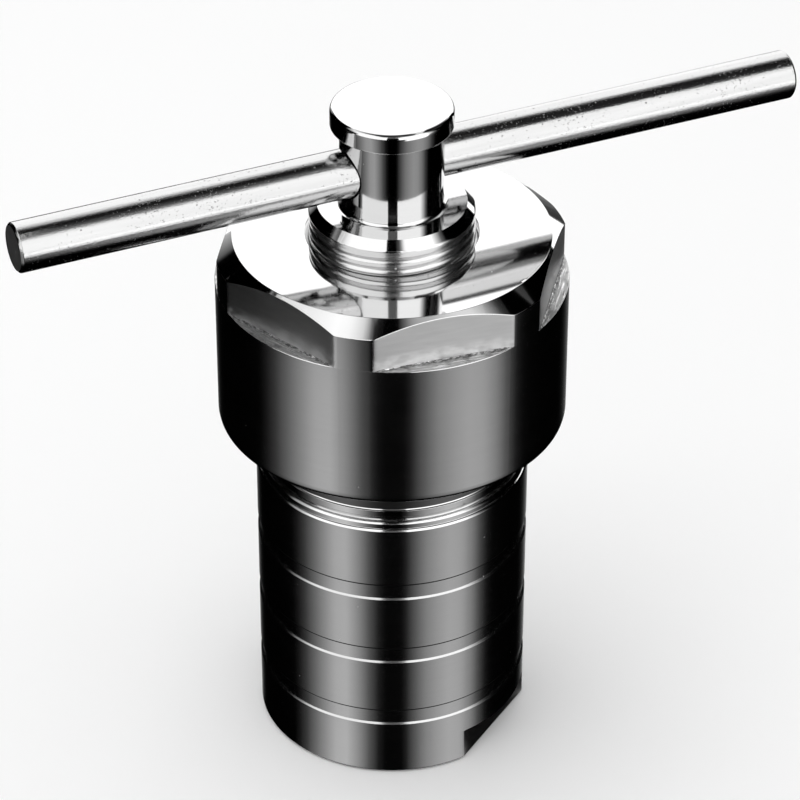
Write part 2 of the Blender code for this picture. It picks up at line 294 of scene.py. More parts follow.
def scratches():
    """Short straight scratches and rubs in two directions, as handling leaves."""
    inputs = {"Length": 0.004, "Width": 0.0001, "Amount": 0.3}
    tree, given, made = effect("Scratches", inputs, ["Scratches", "Smears"])
    place = add(tree, "TexCoord").outputs["Object"]
    fine = math_node(tree, "DIVIDE", 1.0, given["Width"])
    long = math_node(tree, "DIVIDE", 1.0, given["Length"])
    least = math_node(tree, "SUBTRACT", 0.85, math_node(tree, "MULTIPLY", given["Amount"], 0.35))
    streaks = []
    for turn in ((0.5, 0.3, 0.9), (2.1, 1.2, -0.6)):
        settings = {"Vector": place, "Rotation": turn}
        drawn = add(tree, "VectorRotate", settings, rotation_type="EULER_XYZ").outputs[0]
        axes = add(tree, "SeparateXYZ", {0: drawn}).outputs
        counts = [math_node(tree, "MULTIPLY", axis, per) for axis, per in zip(axes, (fine, long, fine))]
        spot = add(tree, "CombineXYZ", dict(enumerate(counts))).outputs[0]
        streaks.append(ramp(tree, noise(tree, spot, 1.0, 1.0), least, 0.9))
    tree.links.new(math_node(tree, "MAXIMUM", *streaks), made["Scratches"])
    tree.links.new(noise(tree, place, 90.0, 4.0), made["Smears"])
    return tree


EFFECTS = {"lines": turning_lines(), "pits": pits(), "scratches": scratches()}


def use(tree, name, **values):
    """One of the effects, placed in a material with its own values."""
    node = tree.nodes.new("ShaderNodeGroup")
    node.node_tree = EFFECTS[name]
    for socket, value in values.items():
        node.inputs[socket].default_value = value
    return node.outputs


def new_material(name, metallic=1.0):
    """A new material, its nodes and its main shader."""
    material = bpy.data.materials.new(name)
    material.use_nodes = True
    shader = material.node_tree.nodes["Principled BSDF"]
    shader.inputs["Metallic"].default_value = metallic
    return material, material.node_tree, shader


def join(tree, shader, shade, rough, bump, blue=None):
    """Joins a grey shade, a roughness and a bump to the main shader."""
    blue = shade if blue is None else blue
    colour = add(tree, "CombineColor", {0: shade, 1: shade, 2: blue}).outputs[0]
    tree.links.new(colour, shader.inputs["Base Color"])
    tree.links.new(rough, shader.inputs["Roughness"])
    tree.links.new(bump.outputs[0], shader.inputs["Normal"])


def draw_out(tree, shader, stretch, axis, turn):
    """Stretches the highlights, as fine marks round an axis do."""
    shader.inputs["Anisotropic"].default_value = stretch
    shader.inputs["Anisotropic Rotation"].default_value = turn
    tangent = add(tree, "Tangent", direction_type="RADIAL", axis=axis)
    tree.links.new(tangent.outputs[0], shader.inputs["Tangent"])


def metal(name, tone, roughness, stretch=0.0, pitch=0.00025, line_depth=0.1, band_tone=0.06,
          scratch=0.3, pit_share=0.1, pit_size=0.05, spread=0.05, foot=None):
    """Bare steel as it comes off the lathe, the grinder or the polishing wheel. `stretch` is how
    far its fine marks draw the highlights out across them, and `foot` the height of an edge
    towards which its colour is made darker."""
    material, tree, shader = new_material(name)
    lines = use(tree, "lines", Pitch=pitch, Drift=40.0)
    specks = use(tree, "pits", Spacing=0.0035, Size=pit_size, Share=pit_share)
    marks = use(tree, "scratches", Length=0.004, Width=0.00012, Amount=scratch)
    shade = math_node(tree, "MULTIPLY_ADD", lines["Bands"], band_tone, tone - band_tone / 2)
    shade = math_node(tree, "SUBTRACT", shade, band_tone / 2)
    shade = math_node(tree, "MULTIPLY_ADD", lines["Lines"], band_tone, shade)
    shade = math_node(tree, "MULTIPLY_ADD", specks["Pits"], 0.2, shade)
    # The colour gets darker towards the foot edge, down to a quarter of the tone at the edge.
    if foot:
        level = add(tree, "SeparateXYZ", {0: add(tree, "TexCoord").outputs["Object"]}).outputs[2]
        darker_to_foot = ramp(tree, level, foot + 0.0001, foot + 0.0021, 0.25, 1.0)
        shade = math_node(tree, "MULTIPLY", shade, darker_to_foot)
    rough = math_node(tree, "MULTIPLY_ADD", lines["Bands"], spread, roughness - spread / 2)
    rough = math_node(tree, "MULTIPLY_ADD", marks["Scratches"], 0.12, rough)
    rough = math_node(tree, "SUBTRACT", rough, spread / 2)
    rough = math_node(tree, "MULTIPLY_ADD", marks["Smears"], spread, rough)
    rough = math_node(tree, "MULTIPLY_ADD", specks["Pits"], 0.3, rough)
    height = math_node(tree, "MULTIPLY", marks["Scratches"], -0.8)
    height = math_node(tree, "ADD", lines["Lines"], height)
    height = math_node(tree, "MULTIPLY_ADD", specks["Pits"], -2.0, height)
    bump = add(tree, "Bump", {"Strength": line_depth, "Distance": 0.00001, "Height": height})
    join(tree, shader, shade, rough, bump)
    if stretch:
        draw_out(tree, shader, stretch, "Z", 0.25)
    return material


def paint(piece, metals, metal_of=None):
    """Puts metals on a piece: the first all over, or the one that `metal_of` picks for a face
    and its reach from the axis."""
    for material in metals:
        piece.data.materials.append(material)
    if metal_of:
        for face in piece.data.polygons:
            reach = math.hypot(face.center.x, face.center.y)
            face.material_index = metals.index(metal_of(face, reach))


SATIN = {"stretch": 0.6, "pitch": 0.00022, "line_depth": 0.25, "band_tone": 0.04, "spread": 0.04}
satin_steel = metal("satin turned steel", 0.60, 0.16, **SATIN)
milled_steel = metal("milled steel", 0.66, 0.34, stretch=0.9, pitch=0.0006, line_depth=0.15, scratch=0.7)
thread_steel = metal("threaded steel", 0.70, 0.20, stretch=0.4, pitch=0.0003, line_depth=0.25,
                     scratch=0.8, pit_share=0.4, pit_size=0.08)
# Near-black steel in each groove's upper corner: painted shadow under the groove's lip.
groove_shadow_steel = metal("painted groove shadow", 0.05, 0.35)
neck_steel = metal("finely turned neck", 0.76, 0.11, stretch=0.3, pitch=0.00018, line_depth=0.12,
                   band_tone=0.05)
# Dark steel on the neck from the band up to the thread: painted shade under the cap's skirt.
neck_shade_steel = metal("painted shade under the cap", 0.20, 0.30, pitch=0.0003, line_depth=0.3)


def vessel_outline(angle):
    relief_foot = NECK_THREAD_FOOT - NECK_RELIEF_HEIGHT
    relief_slope = NECK_THREAD_RADIUS - NECK_RELIEF_RADIUS
    upper = [
        (0.0, PAD_RECESS_FOOT), (PAD_RECESS_RADIUS, PAD_RECESS_FOOT), (PAD_RECESS_RADIUS, VESSEL_FLOOR),
        (VESSEL_BORE, VESSEL_FLOOR), (VESSEL_BORE, VESSEL_HEIGHT - BORE_CHAMFER),
        (VESSEL_BORE + BORE_CHAMFER, VESSEL_HEIGHT),
    ]
    neck = thread(
        angle, VESSEL_HEIGHT, NECK_THREAD_FOOT, NECK_THREAD_RADIUS, CAP_PITCH, CAP_THREAD_BEARING,
        (NECK_THREAD_RADIUS - NECK_THREAD_CHAMFER, 1.0), (NECK_RELIEF_RADIUS, 1.0),
    )
    lower = [
        (NECK_RELIEF_RADIUS, NECK_THREAD_FOOT), (NECK_RELIEF_RADIUS, relief_foot + relief_slope),
        (NECK_THREAD_RADIUS, relief_foot), (NECK_THREAD_RADIUS, NECK_BAND_TOP + NECK_BAND_COVE),
        (NECK_BAND_RADIUS - NECK_BAND_CHAMFER, NECK_BAND_TOP + HAIR, 0.00005),
        (NECK_BAND_RADIUS, NECK_BAND_TOP - HAIR, 0.0001), (NECK_BAND_RADIUS, NECK_BAND_FOOT),
        (NECK_THREAD_RADIUS, NECK_BAND_FOOT - HAIR), (NECK_THREAD_RADIUS, NECK_STEP_TOP + HAIR),
        (NECK_STEP_RADIUS - NECK_STEP_CHAMFER, NECK_STEP_TOP, 0.00004),
        (NECK_STEP_RADIUS, NECK_STEP_CHAMFER_FOOT, 0.00006), (NECK_STEP_RADIUS, NECK_STEP_FOOT),
        (VESSEL_RADIUS - SHOULDER_CHAMFER, NECK_STEP_FOOT - HAIR, 0.00004),
        (VESSEL_RADIUS, SHOULDER_CHAMFER_FOOT, 0.00008),
    ]
    sunk = VESSEL_RADIUS - GROOVE_DEPTH
    for middle in reversed(GROOVE_HEIGHTS):
        top, bottom = middle + GROOVE_HEIGHT / 2, middle - GROOVE_HEIGHT / 2
        lower += [
            (VESSEL_RADIUS, top, 0.00005), (sunk, top, 0.0), (sunk, top - GROOVE_CORNER, 0.0),
            (sunk, bottom + GROOVE_DEPTH, 0.0001), (VESSEL_RADIUS, bottom, 0.0001),
        ]
    side = flat_side(angle, VESSEL_RADIUS, FOOT_FLAT_DEPTH, FOOT_FLAT_BEARINGS)
    lower += [
        (VESSEL_RADIUS, FOOT_FLAT_TOP), (side, FOOT_FLAT_TOP), (side, VESSEL_EDGE),
        (side - VESSEL_EDGE, 0.0), (0.0, 0.0),
    ]
    return eased(upper) + neck + eased(lower)[1:]


def vessel_metal(face, reach):
    height = face.center.z
    if 2 * VESSEL_EDGE < height < FOOT_FLAT_TOP + TOLERANCE and reach < VESSEL_RADIUS - HAIR:
        return milled_steel
    if reach < NECK_RELIEF_RADIUS - 0.001:
        return satin_steel
    if height > NECK_THREAD_FOOT:
        return thread_steel
    # From the neck band up to the thread, under the cap's skirt: painted shade.
    if height > NECK_BAND_TOP + 0.00035:
        return neck_shade_steel
    if height > SHOULDER - 0.0003:
        return neck_steel
    # The band under each groove's upper lip takes the painted groove shadow.
    corners = [middle + (GROOVE_HEIGHT - GROOVE_CORNER) / 2 for middle in GROOVE_HEIGHTS]
    in_groove_shadow = any(abs(height - corner) < GROOVE_CORNER / 2 for corner in corners)
    return groove_shadow_steel if in_groove_shadow and reach < VESSEL_RADIUS - GROOVE_DEPTH / 2 else satin_steel


foot_edges = flat_edges(VESSEL_RADIUS, FOOT_FLAT_DEPTH, FOOT_FLAT_BEARINGS)
vessel = turned("reactor_vessel", vessel_outline, edges=foot_edges)
vessel_metals = [satin_steel, milled_steel, thread_steel, groove_shadow_steel, neck_steel, neck_shade_steel]
paint(vessel, vessel_metals, vessel_metal)
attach(vessel, "vessel")
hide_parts("vessel")


# Lower pad: a plain turned steel disc that lies loose under the liner, with a low boss that
# drops into the vessel's floor and keeps it central.
PAD_FOOT, PAD_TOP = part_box("lower_pad")[0].z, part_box("lower_pad")[1].z
PAD_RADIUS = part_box("lower_pad")[1].x
PAD_SEAT = PAD_TOP - 0.0030
PAD_BOSS_RADIUS = 0.0075
plain_steel = metal("plain turned steel", 0.55, 0.38, stretch=0.5, pitch=0.0003, line_depth=0.5)


def pad_outline(angle):
    return eased([
        (0.0, PAD_TOP), (PAD_RADIUS, PAD_TOP), (PAD_RADIUS, PAD_SEAT), (PAD_BOSS_RADIUS, PAD_SEAT),
        (PAD_BOSS_RADIUS, PAD_FOOT), (0.0, PAD_FOOT),
    ])


pad = turned("lower_pad_disc", pad_outline, columns=128)
paint(pad, [plain_steel])
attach(pad, "vessel")
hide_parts("lower_pad")


# Cap: a thick stainless cap screwed onto the neck. Its skirt is left satin from the lathe, its
# top is polished like a mirror right up to the chamfer, and six spanner flats are milled into
# the corner, each ending in a rough ledge where the cutter dwelt.
SKIRT_EXTRA = 0.0005
CAP_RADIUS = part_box("cap")[1].x
CAP_FOOT, CAP_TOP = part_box("cap")[0].z - SKIRT_EXTRA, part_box("cap")[1].z
CAP_FOOT_ROUND = 0.0012
CAP_CEILING = CAP_TOP - 0.0175
CAP_CHAMFER = (0.0044, 0.00345)
CAP_FLAT_DEPTH = 0.0036
CAP_FLAT_ANGLE = math.radians(60)
CAP_FLAT_BEARINGS = [math.radians(-95.8 + 60 * turn) for turn in range(6)]
CAP_FLAT_ROUND = 0.0003
CAP_LEDGE = CAP_TOP - 0.0122
CAP_BORE = NECK_THREAD_RADIUS + LOOSE_FIT
CAP_MOUTH = CAP_BORE + 0.0015
CAP_THREAD_RUN = 0.0285
THREAD_PLAY = 0.00018
SCREW_HOLE = 0.0210
SCREW_RADIUS = 0.0200
SCREW_PITCH = 0.0025
SCREW_THREAD_BEARING = 2.9
CROWN_START = 0.0300
CROWN_SLOPE = math.radians(1.2)
CROWN_RINGS = 8

# The skirt's colour gets darker towards the cap's foot edge.
skirt_steel = metal("satin cap steel", 0.60, 0.16, foot=CAP_FOOT, **SATIN)
mirror_steel = metal("mirror steel", 0.72, 0.06, pitch=0.0004, line_depth=0.02, band_tone=0.02,
                     scratch=0.15, pit_share=0.06, pit_size=0.035, spread=0.02)


def cutter_marks(name):
    """A material for what an end mill leaves, and the noise its marks are made of. The mesh says
    how far each point lies along a flat, out from it and up from its ledge."""
    material, tree, shader = new_material(name)
    place = add(tree, "Attribute", attribute_name="on_flat").outputs["Vector"]
    along, out, up = add(tree, "SeparateXYZ", {0: place}).outputs
    across = math_node(tree, "SUBTRACT", up, out)

    def marks(per_length, per_width):
        lengths = math_node(tree, "MULTIPLY", along, per_length)
        widths = math_node(tree, "MULTIPLY", across, per_width)
        spot = add(tree, "CombineXYZ", {0: lengths, 1: widths}).outputs[0]
        return noise(tree, spot, 1.0, 3.0)

    return material, tree, shader, marks, (out, up)


def milled_flat():
    """The flats: long strokes of the cutter, and a hazy band where it dwelt."""
    material, tree, shader, marks, (out, up) = cutter_marks("milled flat")
    strokes = marks(110.0, 1100.0)
    haze = ramp(tree, marks(260.0, 420.0), 0.42, 0.60)
    haze = math_node(tree, "MULTIPLY", ramp(tree, up, 0.0042, 0.0004), haze)
    shade = math_node(tree, "MULTIPLY_ADD", strokes, 0.10, 0.61)
    shade = math_node(tree, "MULTIPLY_ADD", haze, 0.12, shade)
    rough = math_node(tree, "MULTIPLY_ADD", strokes, 0.08, 0.26)
    rough = math_node(tree, "MULTIPLY_ADD", haze, 0.26, rough)
    bump = add(tree, "Bump", {"Strength": 0.25, "Distance": 0.00001, "Height": strokes})
    join(tree, shader, shade, rough, bump)
    draw_out(tree, shader, 0.85, "Z", 0.25)
    return material


def galled_ledge():
    """The ledges: smeared metal, with a torn line in the corner under each flat, whose rough bump is real
    and whose darker colour is painted shade.
    """
    material, tree, shader, marks, (out, up) = cutter_marks("galled ledge")
    strokes = marks(110.0, 1100.0)
    clouds = ramp(tree, marks(260.0, 420.0), 0.52, 0.62)
    # Darker along the inner corner: painted shade, broken up by noise, over the tear's real bump.
    torn_and_shaded = ramp(tree, marks(900.0, 1500.0), 0.47, 0.54)
    corner = ramp(tree, math_node(tree, "ADD", up, out), 0.0012, 0.0002)
    torn_and_shaded = math_node(tree, "MULTIPLY", corner, torn_and_shaded)
    smears = ramp(tree, marks(170.0, 2400.0), 0.50, 0.62)
    shade = math_node(tree, "MULTIPLY_ADD", smears, 0.40, 0.50)
    shade = math_node(tree, "MULTIPLY_ADD", clouds, -0.22, shade)
    shade = math_node(tree, "MULTIPLY", shade, math_node(tree, "MULTIPLY_ADD", torn_and_shaded, -0.65, 1.0))
    rough = math_node(tree, "MULTIPLY_ADD", smears, -0.18, 0.42)
    height = math_node(tree, "ADD", smears, strokes)
    height = math_node(tree, "MULTIPLY_ADD", torn_and_shaded, -2.0, height)
    bump = add(tree, "Bump", {"Strength": 0.7, "Distance": 0.00005, "Height": height})
    join(tree, shader, shade, rough, bump)
    return material


flat_steel = milled_flat()
ledge_steel = galled_ledge()


def crown(radius):
    """How far the hand-polished top rolls off towards the chamfer."""
    width = CAP_RADIUS - CAP_CHAMFER[0] - CROWN_START
    out = max(radius - CROWN_START, 0.0)
    return math.tan(CROWN_SLOPE) * out**2 / (2 * width)


def cap_outline(angle):
    side = flat_side(angle, CAP_RADIUS, CAP_FLAT_DEPTH, CAP_FLAT_BEARINGS)
    top_edge = CAP_RADIUS - CAP_CHAMFER[0]
    rim = CAP_TOP - crown(top_edge)
    slope = (rim - CAP_TOP + CAP_CHAMFER[1]) / CAP_CHAMFER[0]
    rings = [CROWN_START + (top_edge - CROWN_START) * ring / CROWN_RINGS for ring in range(CROWN_RINGS)]
    top = [(SCREW_HOLE, CAP_TOP)] + [(ring, CAP_TOP - crown(ring), 0.0) for ring in rings]
    outer = [
        (top_edge, rim, CAP_FLAT_ROUND), (side, rim - (side - top_edge) * slope, CAP_FLAT_ROUND),
        (side, CAP_LEDGE, CAP_FLAT_ROUND), (CAP_RADIUS, CAP_LEDGE, CAP_FLAT_ROUND),
        (CAP_RADIUS, CAP_FOOT, CAP_FOOT_ROUND), (CAP_MOUTH, CAP_FOOT),
    ]
    skirt = thread(
        angle, CAP_FOOT + CAP_THREAD_RUN, CAP_FOOT, NECK_THREAD_RADIUS, CAP_PITCH, CAP_THREAD_BEARING,
        (CAP_BORE, -1.0), (CAP_MOUTH, -1.0), inside=THREAD_PLAY,
    )
    inner = [(CAP_BORE, CAP_CEILING), (SCREW_HOLE, CAP_CEILING)]
    hole = thread(
        angle, CAP_TOP, CAP_CEILING, SCREW_RADIUS, SCREW_PITCH, SCREW_THREAD_BEARING,
        (SCREW_HOLE, -1.0), (SCREW_HOLE, -1.0), inside=THREAD_PLAY,
    )
    return eased(top + outer) + skirt[::-1] + inner + hole[::-1]


def cap_metal(face, reach):
    height = face.center.z
    outside = reach > CAP_RADIUS - CAP_FLAT_DEPTH - HAIR
    if outside and height < CAP_TOP - CAP_CHAMFER[1] - HAIR:
        if height < CAP_LEDGE - HAIR / 2:
            on_rim = height > CAP_LEDGE - 0.0005 and 0.25 < face.normal.z < 0.97
            return mirror_steel if on_rim else skirt_steel
        if reach > CAP_RADIUS - 0.00004:
            return skirt_steel
        return ledge_steel if height < CAP_LEDGE + 0.0010 else flat_steel
    if reach < CAP_BORE + HAIR and height < CAP_TOP - 0.0008:
        return thread_steel
    return flat_steel if abs(face.normal.z) < 0.3 else mirror_steel


first_flat = CAP_FLAT_BEARINGS[0]
cap_edges = flat_edges(CAP_RADIUS, CAP_FLAT_DEPTH, CAP_FLAT_BEARINGS, first_flat)
cap = turned("reactor_cap", cap_outline, closed=True, start=first_flat, end=first_flat + math.tau,
             edges=cap_edges)
MARKS_APART = 0.13
on_flat = cap.data.attributes.new("on_flat", "FLOAT_VECTOR", "POINT")
for point in cap.data.vertices:
    flat = (math.atan2(point.co.y, point.co.x) - first_flat) / CAP_FLAT_ANGLE
    off = CAP_FLAT_ANGLE * (flat - round(flat))
    reach = math.hypot(point.co.x, point.co.y)
    along = reach * math.sin(off) + MARKS_APART * round(flat)
    out = reach * math.cos(off) - CAP_RADIUS + CAP_FLAT_DEPTH
    on_flat.data[point.index].vector = (along, out, point.co.z - CAP_LEDGE)
paint(cap, [skirt_steel, mirror_steel, flat_steel, ledge_steel, thread_steel], cap_metal)
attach(cap, "cap")
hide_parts("cap")


# Compression screw: nose, threaded shank with a polished collar, post with the bar's hole and a
# round head, all turned from one piece and polished above the thread.
SCREW_FOOT = 0.1215
SCREW_ROOT = SCREW_RADIUS - 0.0020
COLLAR_TOP = 0.1485
COLLAR_EDGE = 0.0003
COLLAR_CONE = (SCREW_ROOT + 0.00027, 0.909)
COLLAR_LENGTH = 0.0021
HEAD_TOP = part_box("compression_screw")[1].z
HEAD_FOOT = HEAD_TOP - 0.0049
HEAD_RADIUS = 0.0147
HEAD_ROUND = 0.0014
POST_RADIUS = 0.0125
POST_FILLET = 0.0012
NOSE_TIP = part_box("compression_screw")[0].z
NOSE_RADIUS = 0.0060
RING_GROOVE_FOOT, RING_GROOVE_TOP = NOSE_TIP + 0.0010, NOSE_TIP + 0.0026
RING_GROOVE_RADIUS = NOSE_RADIUS - 0.0010
BAR_HOLE_RADIUS = 0.0065
BAR_HOLE_HEIGHT = (COLLAR_TOP + HEAD_FOOT) / 2


def screw_outline(angle):
    upper = [
        (0.0, HEAD_TOP), (HEAD_RADIUS, HEAD_TOP, HEAD_ROUND), (HEAD_RADIUS, HEAD_FOOT, 0.0004),
        (POST_RADIUS, HEAD_FOOT, POST_FILLET), (POST_RADIUS, COLLAR_TOP, POST_FILLET),
        (SCREW_ROOT, COLLAR_TOP, COLLAR_EDGE),
    ]
    shank = thread(
        angle, COLLAR_TOP - COLLAR_EDGE, SCREW_FOOT, SCREW_RADIUS, SCREW_PITCH, SCREW_THREAD_BEARING,
        COLLAR_CONE, (SCREW_ROOT, COLLAR_CONE[1]), runout=COLLAR_LENGTH,
    )
    nose = [
        (SCREW_ROOT, SCREW_FOOT), (NOSE_RADIUS, SCREW_FOOT), (NOSE_RADIUS, RING_GROOVE_TOP),
        (RING_GROOVE_RADIUS, RING_GROOVE_TOP), (RING_GROOVE_RADIUS, RING_GROOVE_FOOT),
        (NOSE_RADIUS, RING_GROOVE_FOOT), (NOSE_RADIUS, NOSE_TIP), (0.0, NOSE_TIP),
    ]
    return eased(upper, steps=5) + shank + eased(nose)[1:]


def screw_metal(face, reach):
    return thread_steel if face.center.z < COLLAR_TOP - COLLAR_LENGTH - HAIR else mirror_steel


screw = turned("compression_screw_polished", screw_outline)
paint(screw, [mirror_steel, thread_steel], screw_metal)
shape = bmesh.new()
bmesh.ops.create_cone(
    shape, cap_ends=True, segments=96, radius1=BAR_HOLE_RADIUS, radius2=BAR_HOLE_RADIUS, depth=0.04,
    matrix=Matrix.Translation((0, 0, BAR_HOLE_HEIGHT)) @ Matrix.Rotation(math.pi / 2, 4, "Y"),
)
hole = meshed("bar_hole", shape)
drill = screw.modifiers.new("Bar hole", "BOOLEAN")
drill.operation = "DIFFERENCE"
drill.object = hole
screw.modifiers.move(1, 0)
bpy.context.view_layer.objects.active = screw
screw.select_set(True)
bpy.ops.object.modifier_apply(modifier="Bar hole")
screw.select_set(False)
bpy.data.objects.remove(hole, do_unlink=True)
screw.data.set_sharp_from_angle(angle=SHARP_EDGE)
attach(screw, "screw")
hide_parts("compression_screw")


# Retaining ring: an open ring of spring steel, bent from flat wire. It snaps into the nose's
# groove under the thrust plate and keeps the plate on the screw.
RING_LOW, RING_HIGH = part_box("retaining_ring")[0].z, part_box("retaining_ring")[1].z
RING_INNER = 0.0053
RING_OUTER = 0.0073
RING_MOUTH = 0.0060
RING_END_ANGLE = 0.02
spring_steel = metal("spring steel", 0.30, 0.30, scratch=0.4)


def ring_outline(angle):
    return eased([
        (RING_INNER, RING_HIGH), (RING_OUTER, RING_HIGH), (RING_OUTER, RING_LOW), (RING_INNER, RING_LOW),
    ], radius=HAIR, closed=True)


opening = math.asin(RING_MOUTH / 2 / RING_INNER) + RING_END_ANGLE
ring = turned("spring_ring", ring_outline, closed=True, start=opening, end=math.tau - opening, columns=96)
paint(ring, [spring_steel])
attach(ring, "screw")
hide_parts("retaining_ring")


# Thrust plate: a plain turned disc with a boss, which hangs on the screw's nose and presses the
# liner's lid down. The ring lies in a recess in its underside.
PLATE_FOOT, PLATE_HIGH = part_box("thrust_plate")[0].z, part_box("thrust_plate")[1].z
PLATE_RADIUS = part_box("thrust_plate")[1].x
PLATE_TOP = PLATE_FOOT + 0.0050
PLATE_EDGE = 0.0004
PLATE_BORE = 0.0063
PLATE_BOSS_RADIUS = 0.0130
PLATE_RECESS_RADIUS = 0.0076
PLATE_RECESS_TOP = PLATE_FOOT + 0.0029


def plate_outline(angle):
    return eased([
        (PLATE_BORE, PLATE_HIGH), (PLATE_BOSS_RADIUS, PLATE_HIGH, 0.0005),
        (PLATE_BOSS_RADIUS, PLATE_TOP, 0.0008), (PLATE_RADIUS, PLATE_TOP, PLATE_EDGE),
        (PLATE_RADIUS, PLATE_FOOT, PLATE_EDGE), (PLATE_RECESS_RADIUS, PLATE_FOOT),
        (PLATE_RECESS_RADIUS, PLATE_RECESS_TOP), (PLATE_BORE, PLATE_RECESS_TOP),
    ], closed=True)


plate = turned("thrust_plate_disc", plate_outline, closed=True, columns=128)
paint(plate, [plain_steel])
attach(plate, "plate")
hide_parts("thrust_plate")


# Liner: a thick white cup that holds the charge, pressed and turned from a waxy fluoropolymer.
# It lies loose in the vessel's bore, on the lower pad.
CUP_FOOT, CUP_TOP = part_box("liner_cup")[0].z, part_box("liner_cup")[1].z
CUP_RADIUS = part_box("liner_cup")[1].x
CUP_CORNER = 0.0030
CUP_RIM = 0.0003
CUP_FLOOR = CUP_FOOT + 0.0090
CHAMBER_RADIUS = 0.0210


def waxy(name, tone, roughness):
    """White fluoropolymer: slightly translucent, dull, with faint lines from the lathe."""
    material, tree, shader = new_material(name, metallic=0.0)
    shader.inputs["Subsurface Weight"].default_value = 0.25
    shader.inputs["Subsurface Radius"].default_value = (0.0012, 0.0012, 0.0011)
    shader.inputs["Subsurface Scale"].default_value = 1.0
    shader.inputs["IOR"].default_value = 1.38
    lines = use(tree, "lines", Pitch=0.0004, Drift=20.0)
    marks = use(tree, "scratches", Length=0.005, Width=0.0002, Amount=0.2)
    shade = math_node(tree, "MULTIPLY_ADD", lines["Bands"], 0.04, tone - 0.02)
    rough = math_node(tree, "MULTIPLY_ADD", marks["Smears"], 0.15, roughness - 0.075)
    bump = add(tree, "Bump", {"Strength": 0.4, "Distance": 0.00002, "Height": lines["Lines"]})
    join(tree, shader, shade, rough, bump, blue=math_node(tree, "MULTIPLY", shade, 0.985))
    return material


white_liner = waxy("white liner", 0.86, 0.42)


def cup_outline(angle):
    return eased([
        (0.0, CUP_FLOOR), (CHAMBER_RADIUS, CUP_FLOOR, CUP_CORNER), (CHAMBER_RADIUS, CUP_TOP, CUP_RIM),
        (CUP_RADIUS, CUP_TOP, CUP_RIM), (CUP_RADIUS, CUP_FOOT, CUP_CORNER), (0.0, CUP_FOOT),
    ], steps=6)


cup = turned("liner_cup_white", cup_outline, columns=128)
paint(cup, [white_liner])
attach(cup, "vessel")
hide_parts("liner_cup")


# Liner lid: turned from the same white plastic. A spigot centres it in the cup, and the thrust
# plate presses its flange onto the cup's rim.
LID_FOOT, LID_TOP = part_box("liner_lid")[0].z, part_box("liner_lid")[1].z
LID_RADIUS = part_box("liner_lid")[1].x
LID_SEAT = LID_TOP - 0.0080
SPIGOT_RADIUS = 0.0207
SPIGOT_CHAMFER = 0.0010


def lid_outline(angle):
    return eased([
        (0.0, LID_TOP), (LID_RADIUS, LID_TOP, 0.0005), (LID_RADIUS, LID_SEAT, 0.0003),
        (SPIGOT_RADIUS, LID_SEAT, 0.0002), (SPIGOT_RADIUS, LID_FOOT + SPIGOT_CHAMFER),
        (SPIGOT_RADIUS - SPIGOT_CHAMFER, LID_FOOT), (0.0, LID_FOOT),
    ])


lid = turned("liner_lid_white", lid_outline, columns=128)
paint(lid, [white_liner])
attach(lid, "lid")
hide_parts("liner_lid")


# Tommy bar: plain round stock, ground along its length, that slides loose through the post. Its
# faces are sawn and its edges broken by hand.
BAR_LOW, BAR_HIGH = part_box("tommy_bar")
BAR_RADIUS = (BAR_HIGH.z - BAR_LOW.z) / 2
BAR_HEIGHT = (BAR_HIGH.z + BAR_LOW.z) / 2
BAR_EDGE = 0.0006
BAR_ROUND = 0.0003


def bar_outline(angle):
    return eased([
        (0.0, BAR_HIGH.x), (BAR_RADIUS - BAR_EDGE, BAR_HIGH.x, BAR_ROUND),
        (BAR_RADIUS, BAR_HIGH.x - BAR_EDGE, BAR_ROUND), (BAR_RADIUS, BAR_LOW.x + BAR_EDGE, BAR_ROUND),
        (BAR_RADIUS - BAR_EDGE, BAR_LOW.x, BAR_ROUND), (0.0, BAR_LOW.x),
    ])


def ground(name, tone, roughness):
    """Round stock ground along its length: long fine streaks, with specks of rust and dents."""
    material, tree, shader = new_material(name)
    place = add(tree, "TexCoord").outputs["Object"]
    streaks = noise(tree, scaled(tree, place, (60.0, 3500.0, 3500.0)), 1.0, 2.0)
    bands = noise(tree, scaled(tree, place, (25.0, 500.0, 500.0)), 1.0, 3.0)
    grain = noise(tree, scaled(tree, place, (1100.0, 2600.0, 2600.0)), 1.0, 3.0, 0.65)
    grit = noise(tree, place, 1500.0, 3.0, 0.7)
    patches = noise(tree, place, 60.0, 3.0)
    limit = math_node(tree, "MULTIPLY_ADD", patches, -0.30, 0.79)
    specks = ramp(tree, grit, limit, math_node(tree, "ADD", limit, 0.05))
    dents = use(tree, "pits", Spacing=0.004, Size=0.06, Share=0.30)["Pits"]
    flaws = math_node(tree, "MAXIMUM", specks, dents)
    shade = math_node(tree, "MULTIPLY_ADD", bands, 0.14, tone - 0.07)
    shade = math_node(tree, "MULTIPLY_ADD", flaws, -0.25, shade)
    rough = math_node(tree, "MULTIPLY_ADD", bands, 0.10, roughness - 0.05)
    rough = math_node(tree, "MULTIPLY_ADD", flaws, 0.35, rough)
    height = math_node(tree, "MULTIPLY", flaws, -0.6)
    height = math_node(tree, "MULTIPLY_ADD", streaks, 0.7, height)
    height = math_node(tree, "MULTIPLY_ADD", grain, 1.5, height)
    bump = add(tree, "Bump", {"Strength": 0.7, "Distance": 0.000022, "Height": height})
    join(tree, shader, shade, rough, bump)
    draw_out(tree, shader, 0.5, "X", 0.0)
    return material


ground_steel = ground("ground steel", 0.56, 0.11)
sawn_steel = metal("sawn steel", 0.50, 0.42, pitch=0.0008, line_depth=0.6, scratch=1.0, pit_share=0.4,
                   pit_size=0.1)


def bar_metal(face, reach):
    return sawn_steel if abs(face.normal.x) > 0.95 else ground_steel


